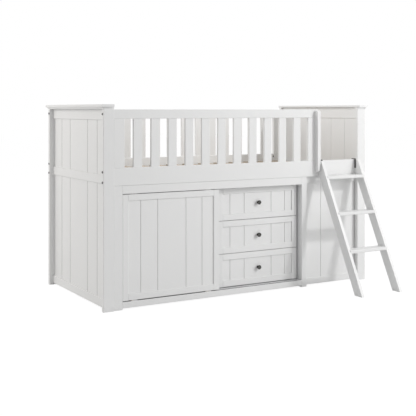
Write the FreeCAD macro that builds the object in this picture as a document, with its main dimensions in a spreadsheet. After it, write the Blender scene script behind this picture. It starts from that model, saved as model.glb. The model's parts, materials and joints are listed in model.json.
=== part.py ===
# A low loft bed in painted wood: two panelled ends, a slatted bed between guards,
# and below it a cabinet with a sliding door and three drawers, and a hook-on ladder.
# Millimetres, +Z up, +X along the bed to the right, the front faces -Y.
# The origin is on the floor, under the middle of the bed with its ladder.
import FreeCAD, Part
import os
import re
import Sketcher

SIZES = {
    # the bed as a whole
    "bed_long": 2050,
    "bed_wide": 985,
    "edge_ease": 2,
    "seat_play": 0.2,
    # posts and caps
    "post_rise": 15,
    "post_wide": 70,
    "post_thick": 28,
    "cap_thick": 16,
    "cap_over": 15,
    "cap_inset": 4,
    "cap_ease": 3,
    "cove_high": 12,
    "cove_deep": 12,
    # framed panels
    "panel_thick": 9,
    "panel_tongue": 8,
    "vee_wide": 5,
    "vee_deep": 3.5,
    # panelled ends
    "end_rail_set": 26,
    "end_rail_thick": 22,
    "end_panel_inset": 8,
    "end_top_high": 80,
    "end_middle_low": 775,
    "end_middle_high": 55,
    "end_bottom_low": 12,
    "end_bottom_high": 53,
    # side rails and guards
    "rail_set": 3,
    "rail_thick": 24,
    "rail_low": 764,
    "rail_high": 110,
    "guard_top": 1233,
    "guard_rail_high": 58,
    "guard_stile_wide": 72,
    "guard_end_wide": 85,
    "guard_slat_wide": 60.5,
    "guard_slat_thick": 16,
    "grab_wide": 25,
    "grab_deep": 33,
    "grab_rise": 31,
    "grab_drop": 8,
    "grab_round": 18,
    # bed base
    "ledger_thick": 20,
    "ledger_high": 28,
    "ledger_rise": 36,
    "ledger_end_gap": 5,
    "bed_slat_wide": 70,
    "bed_slat_thick": 18,
    "bed_slat_end_gap": 2,
    "bed_slat_margin": 20,
    # bolts with barrel nuts
    "bolt_wide": 8,
    "bolt_head_wide": 15,
    "bolt_head_thick": 4,
    "bolt_head_round": 3,
    "socket_wide": 5,
    "socket_deep": 2.5,
    "bolt_reach": 75,
    "bolt_tail": 12,
    "bolt_edge": 23,
    "nut_wide": 14,
    "nut_skin": 2.6,
    "nut_end_play": 0.4,
    "nut_slot_wide": 2,
    "nut_slot_deep": 1.5,
    # cabinet
    "cabinet_gap": 1,
    "cabinet_set": 3,
    "cabinet_long": 1459,
    "cabinet_deep": 520,
    "face_thick": 30,
    "face_left_wide": 59,
    "face_right_wide": 43,
    "face_top_high": 52,
    "face_bottom_low": 10,
    "face_bottom_high": 38,
    "carcass_thick": 18,
    "carcass_top_gap": 2,
    "back_thick": 8,
    "divider_thick": 20,
    "divider_left": 738,
    # sliding door and its tracks
    "door_set": 4,
    "door_thick": 20,
    "door_wide": 690,
    "door_play": 2,
    "door_foot_gap": 5,
    "door_head_gap": 4,
    "frame_wide": 40,
    "frame_panel_inset": 8,
    "foot_track_wide": 18,
    "foot_track_high": 8,
    "head_track_wide": 12,
    "head_track_high": 12,
    "track_wall": 1.5,
    "glide_long": 40,
    "glide_margin": 60,
    "glide_play": 0.3,
    "glide_reach": 7,
    # drawers
    "drawer_set": 47,
    "drawer_gap": 3,
    "drawer_side_gap": 9,
    "drawer_edge_gap": 1,
    "drawer_foot_gap": 6,
    "drawer_front_thick": 20,
    "drawer_back_gap": 42,
    "drawer_side_thick": 12,
    "drawer_bottom_thick": 6,
    "drawer_box_low": 24,
    "drawer_box_high": 150,
    "runner_gap": 13,
    "runner_high": 40,
    "runner_wall": 1.5,
    "runner_deep": 10,
    "runner_play": 0.5,
    "runner_low": 45,
    "knob_deep": 25,
    "knob_head_radius": 15,
    "knob_head_thick": 11,
    "knob_round": 5,
    "knob_neck_radius": 6,
    "knob_base_radius": 9,
    "knob_base_thick": 3,
    # bay behind the ladder
    "bay_set": 25,
    "bay_rail_thick": 22,
    "bay_top_low": 713,
    "bay_bottom_low": 8,
    "bay_bottom_high": 44,
    "bay_panel_inset": 6,
    # ladder
    "ladder_reach": 466,
    "ladder_right_gap": 1,
    "ladder_left_gap": 3,
    "ladder_wide": 351,
    "ladder_top_gap": 2,
    "ladder_head_flat": 32.5,
    "ladder_play": 0.5,
    "stringer_thick": 22,
    "stringer_deep": 75,
    "tread_thick": 22,
    "tread_deep": 80,
    "tread_first": 288,
    "tread_last_rise": 5,
    "tread_housing": 6,
    "hook_thick": 4,
    "hook_leg_wide": 15,
    "hook_leg_long": 62,
    "hook_arm_thick": 6,
    "hook_lip_thick": 6,
    "hook_lip_long": 32,
    "hook_play": 0.4,
    "hook_round": 4,
}

FRONT_SLATS = 11
REAR_SLATS = 14
BED_SLATS = 14
TREADS = 3
DRAWERS = ["bottom", "middle", "top"]
# groove lines, as shares of the panel's width out from its middle, inner and outer
END_VEE_SHARES = (0.163, 0.33)
DOOR_VEE_SHARES = (0.162, 0.351)
DRAWER_VEE_SHARES = (0.19, 0.386)
# the bay's one groove, as a share of the panel's width from its left edge
BAY_VEE_SHARE = 0.303
# the cove's hollow, as shares of its depth and height below the cap
COVE_SHARES = [(0, 0), (1, 0), (1, 0.2), (0.6, 0.32), (0.32, 0.6), (0.2, 1), (0, 1)]
# the corners of a hexagon, as shares of its width across flats
HEX_SHARES = [(0.5, 0.289), (0, 0.577), (-0.5, 0.289), (-0.5, -0.289), (0, -0.577), (0.5, -0.289)]

# places worked out from the sizes
PLACES = {
    "post_high": "guard_top + post_rise",
    "left": "-bed_long / 2",
    "right": "bed_long / 2",
    "front": "(ladder_reach - bed_wide - cap_over) / 2",
    "back": "front + bed_wide",
    "face": "front + rail_set",
    "rail_top": "rail_low + rail_high",
    "rail_left": "left + post_wide",
    "rail_right": "right - post_wide",
    "guard_low": "guard_top - guard_rail_high",
    "gateway": "ladder_left - ladder_left_gap",
    "grab_low": "rail_low + grab_rise",
    "grab_top": "guard_top - grab_drop",
    "ledger_top": "rail_low + ledger_rise",
    "nut_long": "rail_thick - 2 * nut_skin - 2 * nut_end_play",
    "slot_wide": "panel_thick + 2 * seat_play",
    "slot_deep": "panel_tongue + seat_play",
    "end_top_low": "post_high - end_top_high",
    "end_inside": "bed_wide - 2 * post_thick",
    "cabinet_left": "rail_left + cabinet_gap",
    "cabinet_right": "cabinet_left + cabinet_long",
    "opening_left": "cabinet_left + face_left_wide",
    "opening_right": "cabinet_right - face_right_wide",
    "opening_low": "face_bottom_low + face_bottom_high",
    "opening_top": "rail_low - face_top_high",
    "cabinet_face": "face + cabinet_set",
    "carcass_front": "cabinet_face + face_thick",
    "carcass_top": "rail_low - carcass_top_gap - carcass_thick",
    "carcass_back": "carcass_front + cabinet_deep - face_thick",
    "divider_x": "cabinet_left + divider_left",
    "door_left": "opening_left + door_play",
    "door_low": "opening_low + door_foot_gap",
    "door_high": "opening_top - door_head_gap - door_low",
    "door_front": "cabinet_face + door_set",
    "door_middle": "door_front + door_thick / 2",
    "drawer_left": "divider_x + divider_thick + drawer_side_gap",
    "drawer_wide": "opening_right - drawer_side_gap - drawer_left",
    "drawer_front": "cabinet_face + drawer_set",
    "drawer_back": "drawer_front + drawer_front_thick",
    "drawer_low": "opening_low + drawer_foot_gap",
    "drawer_room": "opening_top - drawer_edge_gap - drawer_low",
    "drawer_deep": "carcass_back - back_thick - drawer_back_gap - drawer_back",
    "drawer_box_left": "divider_x + divider_thick + runner_gap",
    "drawer_box_wide": "opening_right - runner_gap - drawer_box_left",
    "bay_left": "cabinet_right",
    "bay_right": "right - end_rail_set - end_rail_thick",
    "bay_front": "face + bay_set",
    "bay_bottom_top": "bay_bottom_low + bay_bottom_high",
    "ladder_right": "rail_right - ladder_right_gap",
    "ladder_left": "ladder_right - ladder_wide",
    "ladder_foot": "front - ladder_reach",
    "ladder_head": "ladder_reach + rail_set - ladder_play",
    "ladder_top": "rail_top - ladder_top_gap",
    "ladder_slope": "ladder_top / (ladder_head - ladder_head_flat)",
}
# heights shared out evenly among the drawers and among the treads
PLACES["drawer_high"] = f"(drawer_room - {len(DRAWERS) - 1} * drawer_gap) / {len(DRAWERS)}"
PLACES["tread_step"] = f"(rail_low + tread_last_rise - tread_first) / {TREADS - 1}"

doc = FreeCAD.newDocument("low_loft_bed")
sheet = doc.addObject("Spreadsheet::Sheet", "Sizes")
for row, (alias, value) in enumerate(SIZES.items(), start=1):
    sheet.set(f"A{row}", alias)
    sheet.set(f"B{row}", str(value))
    sheet.setAlias(f"B{row}", alias)
doc.recompute()

nodes = []
# how near to a face an edge lies to count as on it
PICK_SLACK = 0.01


def sized(text):
    """Turn a sum of named sizes and places into an expression on the sheet."""

    def cell(match):
        word = match.group(0)
        if word in PLACES:
            return "(" + sized(PLACES[word]) + ")"
        return "Sizes." + word

    return re.sub(r"[a-z][a-z_]*", cell, str(text))


def node(thing):
    """List a finished sub-part, which is written to a file under its label."""
    nodes.append(thing)
    return thing


def place(thing, low):
    """Bind a thing's place to three sums of sizes."""
    for axis, text in zip("xyz", low):
        thing.setExpression("Placement.Base." + axis, sized(text))


def turn_round(body):
    """Turn a piece half round about the upright axis, for the other end."""
    body.Placement.Rotation = FreeCAD.Rotation(FreeCAD.Vector(0, 0, 1), 180)


def plane_of(body, role):
    """Find one of the body's own origin planes."""
    return next(plane for plane in body.Origin.OriginFeatures if plane.Role == role)


ALONG_PLANES = {"x": "YZ_Plane", "y": "XZ_Plane", "z": "XY_Plane"}


def sketch_on(body, along, name, start="0"):
    """Start a sketch square to an axis, at a distance along it."""
    sketch = body.newObject("Sketcher::SketchObject", name)
    sketch.AttachmentSupport = (plane_of(body, ALONG_PLANES[along]), [""])
    sketch.MapMode = "FlatFace"
    if start != "0":
        sign = "-" if along == "y" else ""
        sketch.setExpression("AttachmentOffset.Base.z", f"{sign}({sized(start)})")
    return sketch


def pin_point(sketch, line, end, point):
    """Hold one end of a line at two sums of sizes from the sketch's origin."""
    for kind, text, axis in zip(("DistanceX", "DistanceY"), point, (-2, -1)):
        if text == "0":
            sketch.addConstraint(Sketcher.Constraint("PointOnObject", line, end, axis))
            continue
        spot = sketch.getPoint(line, end)
        here = spot.x if kind == "DistanceX" else spot.y
        rule = sketch.addConstraint(Sketcher.Constraint(kind, -1, 1, line, end, here))
        sketch.setExpression(f"Constraints[{rule}]", sized(text))


def outline(sketch, points, closed=True):
    """Draw straight lines through points given as sums of sizes."""
    turn = FreeCAD.Rotation(FreeCAD.Vector(0, 0, 1), 360 / (len(points) + 1))
    spots = [FreeCAD.Vector(1, 1, 0)]
    for _ in points:
        spots.append(turn.multVec(spots[-1]))
    count = len(points) if closed else len(points) - 1
    for index in range(count):
        after = (index + 1) % len(points)
        sketch.addGeometry(Part.LineSegment(spots[index], spots[after]))
    for index in range(count if closed else count - 1):
        after = (index + 1) % count
        sketch.addConstraint(Sketcher.Constraint("Coincident", index, 2, after, 1))
    for index in range(count):
        pin_point(sketch, index, 1, points[index])
    if not closed:
        pin_point(sketch, count - 1, 2, points[-1])


def extrude(label, along, section, length, low):
    """Make a piece of one section, drawn square to its length, from its low corner."""
    body = doc.addObject("PartDesign::Body", label)
    sketch = sketch_on(body, along, label + "_section")
    outline(sketch, section)
    pad = body.newObject("PartDesign::Pad", label + "_pad")
    pad.Profile = sketch
    pad.Reversed = along == "y"
    pad.setExpression("Length", sized(length))
    place(body, low)
    return body


def sink(body, along, sketch, deep, name):
    """Cut a sketch into the body, the way its axis points."""
    pocket = body.newObject("PartDesign::Pocket", name)
    pocket.Profile = sketch
    pocket.Reversed = along != "y"
    pocket.setExpression("Length", sized(deep))


def drill(body, along, centre, wide, deep, name, start="0"):
    """Drill a round hole along an axis."""
    sketch = sketch_on(body, along, name + "_round", start)
    sketch.addGeometry(Part.Circle(FreeCAD.Vector(1, 1, 0), FreeCAD.Vector(0, 0, 1), 1))
    pin_point(sketch, 0, 3, centre)
    rule = sketch.addConstraint(Sketcher.Constraint("Diameter", 0, 1))
    sketch.setExpression(f"Constraints[{rule}]", sized(wide))
    sink(body, along, sketch, deep, name)


def round_edges(body, radius, pick):
    """Round the edges of the body's last feature that the pick accepts, by their boxes."""
    doc.recompute()
    base = body.Tip
    whole = base.Shape.BoundBox
    chosen = []
    for number, edge in enumerate(base.Shape.Edges, start=1):
        if pick(edge.BoundBox, whole):
            chosen.append(f"Edge{number}")
    fillet = body.newObject("PartDesign::Fillet", body.Name + "_round")
    fillet.Base = (base, chosen)
    fillet.setExpression("Radius", sized(radius))


def block(label, low, size):
    """Make a plain square-edged board from its low corner."""
    box = doc.addObject("Part::Box", label)
    for name, text in zip(("Length", "Width", "Height"), size):
        box.setExpression(name, sized(text))
    place(box, low)
    return box


def rod(label, radius, length, low, axis, angle):
    """Make a round bar, turned from upright about an axis."""
    bar = doc.addObject("Part::Cylinder", label)
    bar.setExpression("Radius", sized(radius))
    bar.setExpression("Height", sized(length))
    bar.Placement.Rotation = FreeCAD.Rotation(FreeCAD.Vector(*axis), angle)
    place(bar, low)
    return bar


def group(label, things):
    """Keep like pieces in one node, as separate solids."""
    compound = doc.addObject("Part::Compound", label)
    compound.Links = things
    return node(compound)


def swapped(section):
    """Swap a section's two directions."""
    return [(v, u) for u, v in section]


def flipped(section, high):
    """Turn a section upside down."""
    return [(u, f"{high} - ({v})") for u, v in section]


def eased(wide, high, ease="edge_ease"):
    """Give a rectangle with its corners eased."""
    return slotted(wide, high, None, ease=ease)


def slotted(wide, high, slot_at, low_slot=False, high_slot=False, ease="edge_ease"):
    """Give an eased rectangle with a panel slot in its low edge, its high edge or both."""
    points = [(ease, "0")]
    if low_slot:
        points += [
            (slot_at, "0"),
            (slot_at, "slot_deep"),
            (f"{slot_at} + slot_wide", "slot_deep"),
            (f"{slot_at} + slot_wide", "0"),
        ]
    points += [
        (f"{wide} - {ease}", "0"),
        (wide, ease),
        (wide, f"{high} - {ease}"),
        (f"{wide} - {ease}", high),
    ]
    if high_slot:
        points += [
            (f"{slot_at} + slot_wide", high),
            (f"{slot_at} + slot_wide", f"{high} - (slot_deep)"),
            (slot_at, f"{high} - (slot_deep)"),
            (slot_at, high),
        ]
    return points + [(ease, high), ("0", f"{high} - {ease}"), ("0", ease)]


def grooved(wide, centres, both=False):
    """Give a panel's section with V-grooves in its face, or in both faces."""
    points = [("0", "0")]
    for centre in centres:
        points += [
            (f"{centre} - vee_wide / 2", "0"),
            (centre, "vee_deep"),
            (f"{centre} + vee_wide / 2", "0"),
        ]
    points += [(wide, "0"), (wide, "panel_thick")]
    if both:
        for centre in reversed(centres):
            points += [
                (f"{centre} + vee_wide / 2", "panel_thick"),
                (centre, "panel_thick - vee_deep"),
                (f"{centre} - vee_wide / 2", "panel_thick"),
            ]
    return points + [("0", "panel_thick")]


def vee_centres(wide, shares):
    """Give four groove lines, set out in pairs from the panel's middle."""
    middle = f"({wide}) / 2"
    inner, outer = (f"{share} * ({wide})" for share in shares)
    return [
        f"{middle} - {outer}",
        f"{middle} - {inner}",
        f"{middle} + {inner}",
        f"{middle} + {outer}",
    ]


# panelled ends: the right end is the left one turned half round


def end_place(side, x, y, z):
    """Place a piece of an end, given from its outer face and its first post."""
    if side == "left":
        return f"left + {x}", f"front + {y}", z
    return f"right - ({x})", f"back - ({y})", z


def end_piece(label, side, along, section, length, spot):
    """Make a piece of one section in its place in an end."""
    body = extrude(label, along, section, length, end_place(side, *spot))
    if side == "right":
        turn_round(body)
    return body


BOLT_HEIGHTS = {
    "guard": "guard_top - guard_rail_high / 2",
    "upper": "rail_top - bolt_edge",
    "lower": "rail_low + bolt_edge",
}
# each post with its end, its place in that end and the bolts that it takes
POSTS = {
    "left_front_post": ("left", "first", ["guard", "upper", "lower"]),
    "left_rear_post": ("left", "second", ["guard", "upper", "lower"]),
    "right_rear_post": ("right", "first", ["guard", "upper", "lower"]),
    "right_front_post": ("right", "second", ["upper", "lower"]),
}
BOLT_LINE = "rail_set + rail_thick / 2"
BOLT_HOLE = "bolt_wide + 2 * seat_play"

for label, (side, rank, bolts) in POSTS.items():
    slot_at = "end_rail_set + end_panel_inset - seat_play"
    section = slotted("post_wide", "post_thick", slot_at, high_slot=True)
    start_y = "0"
    bolt_y = BOLT_LINE
    if rank == "second":
        section = flipped(section, "post_thick")
        start_y = "bed_wide - post_thick"
        bolt_y = f"post_thick - ({BOLT_LINE})"
    post = node(end_piece(label, side, "z", section, "post_high", ("0", start_y, "0")))
    for bolt in bolts:
        centre = (bolt_y, BOLT_HEIGHTS[bolt])
        drill(post, "x", centre, BOLT_HOLE, "post_wide", f"{label}_{bolt}_hole")

END_RAILS = {
    "bottom": ("end_bottom_low", "end_bottom_high", False, True),
    "middle": ("end_middle_low", "end_middle_high", True, True),
    "top": ("end_top_low", "end_top_high", True, False),
}
END_PANELS = {
    "lower": ("end_bottom_low + end_bottom_high", "end_middle_low"),
    "upper": ("end_middle_low + end_middle_high", "end_top_low"),
}
END_PANEL_WIDE = "end_inside + 2 * panel_tongue"

for side in ("left", "right"):
    rails = []
    for name, (low, high, low_slot, high_slot) in END_RAILS.items():
        slot_at = "end_panel_inset - seat_play"
        section = slotted("end_rail_thick", high, slot_at, low_slot, high_slot)
        spot = ("end_rail_set", "post_thick", low)
        rails.append(end_piece(f"{side}_end_{name}_rail", side, "y", section, "end_inside", spot))
    group(f"{side}_end_rails", rails)

    panels = []
    for name, (low, high) in END_PANELS.items():
        centres = vee_centres(END_PANEL_WIDE, END_VEE_SHARES)
        section = swapped(grooved(END_PANEL_WIDE, centres, both=True))
        panel_high = f"{high} - ({low}) + 2 * panel_tongue"
        spot = (
            "end_rail_set + end_panel_inset",
            "post_thick - panel_tongue",
            f"{low} - panel_tongue",
        )
        panels.append(end_piece(f"{side}_{name}_panel", side, "z", section, panel_high, spot))
    group(f"{side}_end_panels", panels)

    cap_wide = "post_wide + cap_over - cap_inset"
    cap_long = "bed_wide + 2 * cap_over"
    section = eased(cap_wide, "cap_thick", "cap_ease")
    spot = ("-cap_over", "-cap_over", "post_high")
    node(end_piece(f"{side}_cap", side, "y", section, cap_long, spot))

    # a cove fills the corner under the cap, along the outer face
    section = [
        (f"-{deep} * cove_deep" if deep else "0", f"-{high} * cove_high" if high else "0")
        for deep, high in COVE_SHARES
    ]
    node(end_piece(f"{side}_cap_cove", side, "y", section, "bed_wide", ("0", "0", "post_high")))

# side rails and guards: the rear ones are set back from the rear posts as the front ones are

RAIL_LONG = "bed_long - 2 * post_wide"
REAR_FACE = "back - rail_set - rail_thick"


def bolt_rail(body, length, ends, heights, base, skin):
    """Bore a rail for its bolts and barrel nuts, from each bolted end and from inside the bed."""
    for end in ends:
        for height in heights:
            z = f"{BOLT_HEIGHTS[height]} - ({base})"
            name = f"{body.Name}_{end}_{height}"
            deep = "bolt_reach + bolt_tail"
            start = "0" if end == "left" else f"{length} - ({deep})"
            across = "bolt_reach" if end == "left" else f"{length} - bolt_reach"
            nut_hole = "nut_wide + 2 * seat_play"
            drill(body, "x", ("rail_thick / 2", z), BOLT_HOLE, deep, name + "_bore", start)
            nut_deep = "rail_thick - nut_skin"
            drill(body, "y", (across, z), nut_hole, nut_deep, name + "_nut_hole", skin)


def slat_row(label, first, room, count, y):
    """Space guard slats evenly between two stiles."""
    slats = []
    gap = f"({room} - {count} * guard_slat_wide) / {count + 1}"
    for index in range(count):
        x = f"{first} + {index + 1} * {gap} + {index} * guard_slat_wide"
        section = eased("guard_slat_wide", "guard_slat_thick")
        spot = (x, f"{y} + (rail_thick - guard_slat_thick) / 2", "rail_top")
        slats.append(extrude(f"{label}_{index + 1}", "z", section, "guard_low - (rail_top)", spot))
    return slats


GUARDS = {
    "front": ("face", "guard_end_wide", "gateway - (rail_left)", FRONT_SLATS, ["left"], "nut_skin"),
    "rear": (REAR_FACE, "guard_stile_wide", RAIL_LONG, REAR_SLATS, ["left", "right"], "0"),
}
for where, (y, last_wide, long, count, ends, skin) in GUARDS.items():
    section = eased("rail_thick", "rail_high")
    side_rail = extrude(f"{where}_side_rail", "x", section, RAIL_LONG, ("rail_left", y, "rail_low"))
    bolt_rail(side_rail, RAIL_LONG, ["left", "right"], ["upper", "lower"], "rail_low", skin)
    node(side_rail)

    section = eased("rail_thick", "guard_rail_high")
    guard = extrude(f"{where}_guard_rail", "x", section, long, ("rail_left", y, "guard_low"))
    bolt_rail(guard, long, ends, ["guard"], "guard_low", skin)
    node(guard)

    stiles = []
    stile_high = "guard_low - (rail_top)"
    for end, wide, x in (
        ("left", "guard_stile_wide", "rail_left"),
        ("right", last_wide, f"rail_left + {long} - {last_wide}"),
    ):
        section = eased(wide, "rail_thick")
        name = f"{where}_guard_{end}_stile"
        stiles.append(extrude(name, "z", section, stile_high, (x, y, "rail_top")))
    group(f"{where}_guard_stiles", stiles)

    room = f"{long} - guard_stile_wide - {last_wide}"
    slats = slat_row(f"{where}_guard_slat", "rail_left + guard_stile_wide", room, count, y)
    group(f"{where}_guard_slats", slats)

# grab batten on the end of the front guard, beside the ladder

section = [
    ("0", "0"),
    ("grab_deep", "0"),
    ("grab_deep", "grab_top - grab_low"),
    ("0", "grab_top - grab_low"),
]
grab_spot = ("gateway - grab_wide", "face - grab_deep", "grab_low")
grab = extrude("grab_batten", "x", section, "grab_wide", grab_spot)
round_edges(
    grab,
    "grab_round",
    lambda edge, whole: edge.YMax < whole.YMin + PICK_SLACK and edge.XLength > PICK_SLACK,
)
node(grab)

# bed base: slats across two ledgers

ledgers = []
for where, y in (("front", "face + rail_thick"), ("rear", f"{REAR_FACE} - ledger_thick")):
    section = eased("ledger_thick", "ledger_high")
    spot = ("rail_left + ledger_end_gap", y, "ledger_top - ledger_high")
    long = f"{RAIL_LONG} - 2 * ledger_end_gap"
    ledgers.append(extrude(f"{where}_ledger", "x", section, long, spot))
group("bed_ledgers", ledgers)

bed_slats = []
slat_room = f"{RAIL_LONG} - 2 * bed_slat_margin - bed_slat_wide"
slat_long = "bed_wide - 2 * rail_set - 2 * rail_thick - 2 * bed_slat_end_gap"
for index in range(BED_SLATS):
    x = f"rail_left + bed_slat_margin + {index} * ({slat_room}) / {BED_SLATS - 1}"
    section = eased("bed_slat_wide", "bed_slat_thick")
    spot = (x, "face + rail_thick + bed_slat_end_gap", "ledger_top")
    bed_slats.append(extrude(f"bed_slat_{index + 1}", "y", section, slat_long, spot))
group("bed_slats", bed_slats)

# bolts through the posts, each into a barrel nut across the rail


def button_bolt(label, side, y, z):
    """Turn a button-head bolt with a hexagon socket, from the outer face of its post inwards."""
    body = doc.addObject("PartDesign::Body", label)
    profile = sketch_on(body, "z", label + "_profile")
    long = "bolt_head_thick + post_wide + bolt_reach + bolt_tail - seat_play"
    outline(
        profile,
        [
            ("0", "0"),
            ("0", "bolt_head_wide / 2"),
            ("bolt_head_thick", "bolt_head_wide / 2"),
            ("bolt_head_thick", "bolt_wide / 2"),
            (long, "bolt_wide / 2"),
            (long, "0"),
        ],
    )
    turned = body.newObject("PartDesign::Revolution", label + "_turned")
    turned.Profile = profile
    turned.ReferenceAxis = (profile, ["H_Axis"])
    round_edges(body, "bolt_head_round", lambda edge, whole: edge.XMax < whole.XMin + PICK_SLACK)
    socket = sketch_on(body, "x", label + "_hexagon")
    outline(
        socket,
        [
            (f"{u} * socket_wide" if u else "0", f"{v} * socket_wide" if v else "0")
            for u, v in HEX_SHARES
        ],
    )
    sink(body, "x", socket, "socket_deep", label + "_socket")
    place(body, end_place(side, "-bolt_head_thick", y, z))
    if side == "right":
        turn_round(body)
    return body


def barrel_nut(label, x, y, z, slot_y):
    """Make a barrel nut across a rail, bored for its bolt and slotted in the end that shows."""
    barrel = rod(f"{label}_barrel", "nut_wide / 2", "nut_long", (x, y, z), (1, 0, 0), -90)
    bore_radius = "bolt_wide / 2 + seat_play"
    bore_spot = (f"{x} - nut_wide / 2", f"{y} + nut_long / 2", z)
    bore = rod(f"{label}_thread", bore_radius, "nut_wide", bore_spot, (0, 1, 0), 90)
    bored = doc.addObject("Part::Cut", f"{label}_bored")
    bored.Base = barrel
    bored.Tool = bore
    slot_spot = (f"{x} - nut_wide / 2", slot_y, f"{z} - nut_slot_wide / 2")
    slot = block(f"{label}_slot", slot_spot, ("nut_wide", "nut_slot_deep", "nut_slot_wide"))
    nut = doc.addObject("Part::Cut", label)
    nut.Base = bored
    nut.Tool = slot
    return nut


bolts = []
nuts = []
for label, (side, rank, heights) in POSTS.items():
    y = BOLT_LINE if rank == "first" else f"bed_wide - ({BOLT_LINE})"
    nut_x, middle, _ = end_place(side, "post_wide + bolt_reach", y, "0")
    nut_y = f"{middle} - nut_long / 2"
    # the slot shows inside the bed: behind the front rails and before the rear ones
    in_front = (side == "left") == (rank == "first")
    slot_y = f"{middle} + nut_long / 2 - nut_slot_deep" if in_front else nut_y
    for height in heights:
        z = BOLT_HEIGHTS[height]
        bolts.append(button_bolt(f"{label}_{height}_bolt", side, y, z))
        nuts.append(barrel_nut(f"{label}_{height}_nut", nut_x, nut_y, z, slot_y))
group("bed_bolts", bolts)
group("barrel_nuts", nuts)

# cabinet face frame: the head and foot rails are slotted for the door's tracks


def track_rail(high, wide, deep):
    """Give a face rail's section with a slot along its top edge, for a door track."""
    slot_from = f"door_set + door_thick / 2 - {wide} / 2"
    slot_to = f"door_set + door_thick / 2 + {wide} / 2"
    return [
        ("edge_ease", "0"),
        ("face_thick", "0"),
        ("face_thick", high),
        (slot_to, high),
        (slot_to, f"{high} - {deep}"),
        (slot_from, f"{high} - {deep}"),
        (slot_from, high),
        ("edge_ease", high),
        ("0", f"{high} - edge_ease"),
        ("0", "edge_ease"),
    ]


face_stiles = []
for name, x, wide in (
    ("left", "cabinet_left", "face_left_wide"),
    ("right", "opening_right", "face_right_wide"),
):
    section = eased(wide, "face_thick")
    spot = (x, "cabinet_face", "0")
    face_stiles.append(extrude(f"cabinet_{name}_stile", "z", section, "rail_low", spot))
group("cabinet_stiles", face_stiles)

OPENING_LONG = "opening_right - (opening_left)"
foot_section = track_rail("face_bottom_high", "foot_track_wide", "foot_track_high")
head_section = flipped(track_rail("face_top_high", "head_track_wide", "head_track_high"), "face_top_high")
foot_spot = ("opening_left", "cabinet_face", "face_bottom_low")
head_spot = ("opening_left", "cabinet_face", "opening_top")
face_rails = [
    extrude("cabinet_foot_rail", "x", foot_section, OPENING_LONG, foot_spot),
    extrude("cabinet_head_rail", "x", head_section, OPENING_LONG, head_spot),
]
group("cabinet_face_rails", face_rails)

# cabinet carcass

CARCASS_DEEP = "carcass_back - (carcass_front)"
CARCASS_INSIDE = "opening_right - cabinet_left - carcass_thick"
for name, x in (("left", "cabinet_left"), ("right", "opening_right")):
    size = ("carcass_thick", CARCASS_DEEP, "carcass_top")
    node(block(f"cabinet_{name}_side", (x, "carcass_front", "0"), size))

floor_low = "opening_low - carcass_thick"
node(
    block(
        "cabinet_floor",
        ("cabinet_left + carcass_thick", "carcass_front", floor_low),
        (CARCASS_INSIDE, f"{CARCASS_DEEP} - back_thick", "carcass_thick"),
    )
)
node(
    block(
        "cabinet_top",
        ("cabinet_left", "carcass_front", "carcass_top"),
        ("opening_right + carcass_thick - (cabinet_left)", CARCASS_DEEP, "carcass_thick"),
    )
)
node(
    block(
        "cabinet_back",
        ("cabinet_left + carcass_thick", "carcass_back - back_thick", floor_low),
        (CARCASS_INSIDE, "back_thick", f"carcass_top - ({floor_low})"),
    )
)
node(
    block(
        "cabinet_divider",
        ("divider_x", "drawer_front", "opening_low"),
        ("divider_thick", "carcass_back - back_thick - (drawer_front)", "carcass_top - (opening_low)"),
    )
)

# door tracks: a channel sunk in the foot rail and one in the head rail


def channel(wide, high):
    """Give a track's section: a channel that opens upwards."""
    return [
        ("0", "0"),
        (wide, "0"),
        (wide, high),
        (f"{wide} - track_wall", high),
        (f"{wide} - track_wall", "track_wall"),
        ("track_wall", "track_wall"),
        ("track_wall", high),
        ("0", high),
    ]


foot_track = channel("foot_track_wide", "foot_track_high")
head_track = flipped(channel("head_track_wide", "head_track_high"), "head_track_high")
foot_spot = ("opening_left", "door_middle - foot_track_wide / 2", "opening_low - foot_track_high")
head_spot = ("opening_left", "door_middle - head_track_wide / 2", "opening_top")
tracks = [
    extrude("door_foot_track", "x", foot_track, OPENING_LONG, foot_spot),
    extrude("door_head_track", "x", head_track, OPENING_LONG, head_spot),
]
group("door_tracks", tracks)


def framed_panel(label, low, wide, high, thick, vee_shares):
    """Make a frame of two stiles and two rails round a grooved panel."""
    x, y, z = low
    slot_at = "frame_panel_inset - seat_play"
    left_section = swapped(slotted(thick, "frame_wide", slot_at, high_slot=True))
    right_section = swapped(slotted(thick, "frame_wide", slot_at, low_slot=True))
    foot_section = slotted(thick, "frame_wide", slot_at, high_slot=True)
    head_section = slotted(thick, "frame_wide", slot_at, low_slot=True)
    rail_long = f"{wide} - 2 * frame_wide"
    rail_x = f"{x} + frame_wide"
    head_z = f"{z} + {high} - frame_wide"
    frame = [
        extrude(f"{label}_left_stile", "z", left_section, high, (x, y, z)),
        extrude(f"{label}_right_stile", "z", right_section, high, (f"{x} + {wide} - frame_wide", y, z)),
        extrude(f"{label}_foot_rail", "x", foot_section, rail_long, (rail_x, y, z)),
        extrude(f"{label}_head_rail", "x", head_section, rail_long, (rail_x, y, head_z)),
    ]
    group(f"{label}_frame", frame)
    panel_wide = f"{rail_long} + 2 * panel_tongue"
    panel_high = f"{high} - 2 * frame_wide + 2 * panel_tongue"
    section = grooved(panel_wide, vee_centres(panel_wide, vee_shares))
    spot = (
        f"{rail_x} - panel_tongue",
        f"{y} + frame_panel_inset",
        f"{z} + frame_wide - panel_tongue",
    )
    node(extrude(f"{label}_panel", "z", section, panel_high, spot))


# sliding door, with glides below and above

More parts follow.
